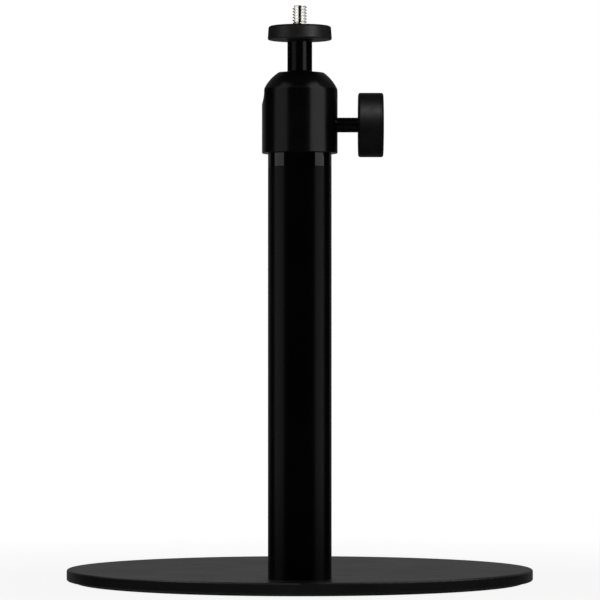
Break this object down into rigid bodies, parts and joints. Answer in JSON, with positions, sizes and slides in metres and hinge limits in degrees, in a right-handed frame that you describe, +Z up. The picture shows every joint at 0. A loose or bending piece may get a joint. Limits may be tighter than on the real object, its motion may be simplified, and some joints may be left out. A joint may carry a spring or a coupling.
{
  "type": "desktop microphone stand",
  "caption": "Desktop microphone stand: round weighted base, off-centre pole and a lockable ball head with a slotted housing, side knob, platform and threaded stud.",
  "frame": {"origin": "on the floor, under the centre of the round base", "axes": "+Z up along the pole, the pole stands towards -Y from the base's centre, the lock knob points to +X and the neck's slot faces -X"},
  "size_m": [0.21, 0.21, 0.2533],
  "materials": {
    "foot_rubber": "matt sheet rubber",
    "powder_coat": "satin black powder coat on steel",
    "pole_paint": "smooth semi-gloss black paint on steel tube",
    "collar_gloss": "polished gloss black",
    "head_paint": "smooth semi-gloss black paint on turned alloy",
    "neck_paint": "gloss black on turned steel",
    "satin_disc": "fine satin black",
    "satin_knob": "fine satin black, moulded",
    "stud_chrome": "bright nickel plate",
    "zinc_steel": "bright zinc plate",
    "bright_steel": "ground steel",
    "raw_aluminium": "turned, uncoated",
    "black_oxide": "black oxide",
    "cup_brass": "turned brass",
    "pad_nylon": "natural nylon"
  },
  "bodies": {
    "stand": {"base_pad": "foot_rubber", "base_plate": "powder_coat", "foot_bolt": "zinc_steel", "locating_pin": "bright_steel", "bottom_plug": "zinc_steel", "pole_tube": "pole_paint", "top_plug": "collar_gloss", "head_stud": "zinc_steel", "head_base": "raw_aluminium", "base_set_screw": "black_oxide", "ball_housing": "head_paint"},
    "cup": {"pressure_cup": "cup_brass"},
    "pad": {"ball_pad": "pad_nylon"},
    "stem": {"ball_stem": "neck_paint"},
    "head": {"platform": "satin_disc", "platform_pad": "foot_rubber", "mount_stud": "stud_chrome"},
    "pin": {"lock_pin": "cup_brass"},
    "knob": {"lock_screw": "neck_paint", "lock_knob": "satin_knob", "knob_cap": "satin_knob"}
  },
  "joints": [
    {"name": "lean", "type": "hinge", "parent": "stand", "child": "pad", "pos_m": [0, -0.074, 0.216], "axis": [1, 0, 0], "range_deg": [-10, 10]},
    {"name": "tilt", "type": "hinge", "parent": "pad", "child": "stem", "pos_m": [0, -0.074, 0.216], "axis": [0, -1, 0], "range_deg": [-10, 90]},
    {"name": "swivel", "type": "hinge", "parent": "stem", "child": "head", "pos_m": [0, -0.074, 0.216], "axis": [0, 0, 1], "continuous": true},
    {"name": "pin_travel", "type": "slide", "parent": "stand", "child": "pin", "axis": [1, 0, 0], "range_m": [0, 0.0015]},
    {"name": "knob_turn", "type": "hinge", "parent": "pin", "child": "knob", "pos_m": [0.03, -0.074, 0.2017], "axis": [1, 0, 0], "range_deg": [0, 540]},
    {"name": "cup_drop", "type": "slide", "parent": "stand", "child": "cup", "axis": [0, 0, 1], "range_m": [-0.0003, 0]}
  ],
  "couplings": [
    {"joint": "knob_turn", "follows": "pin_travel", "rad_per_m": 6283.1},
    {"joint": "cup_drop", "follows": "pin_travel", "ratio": -0.2}
  ]
}
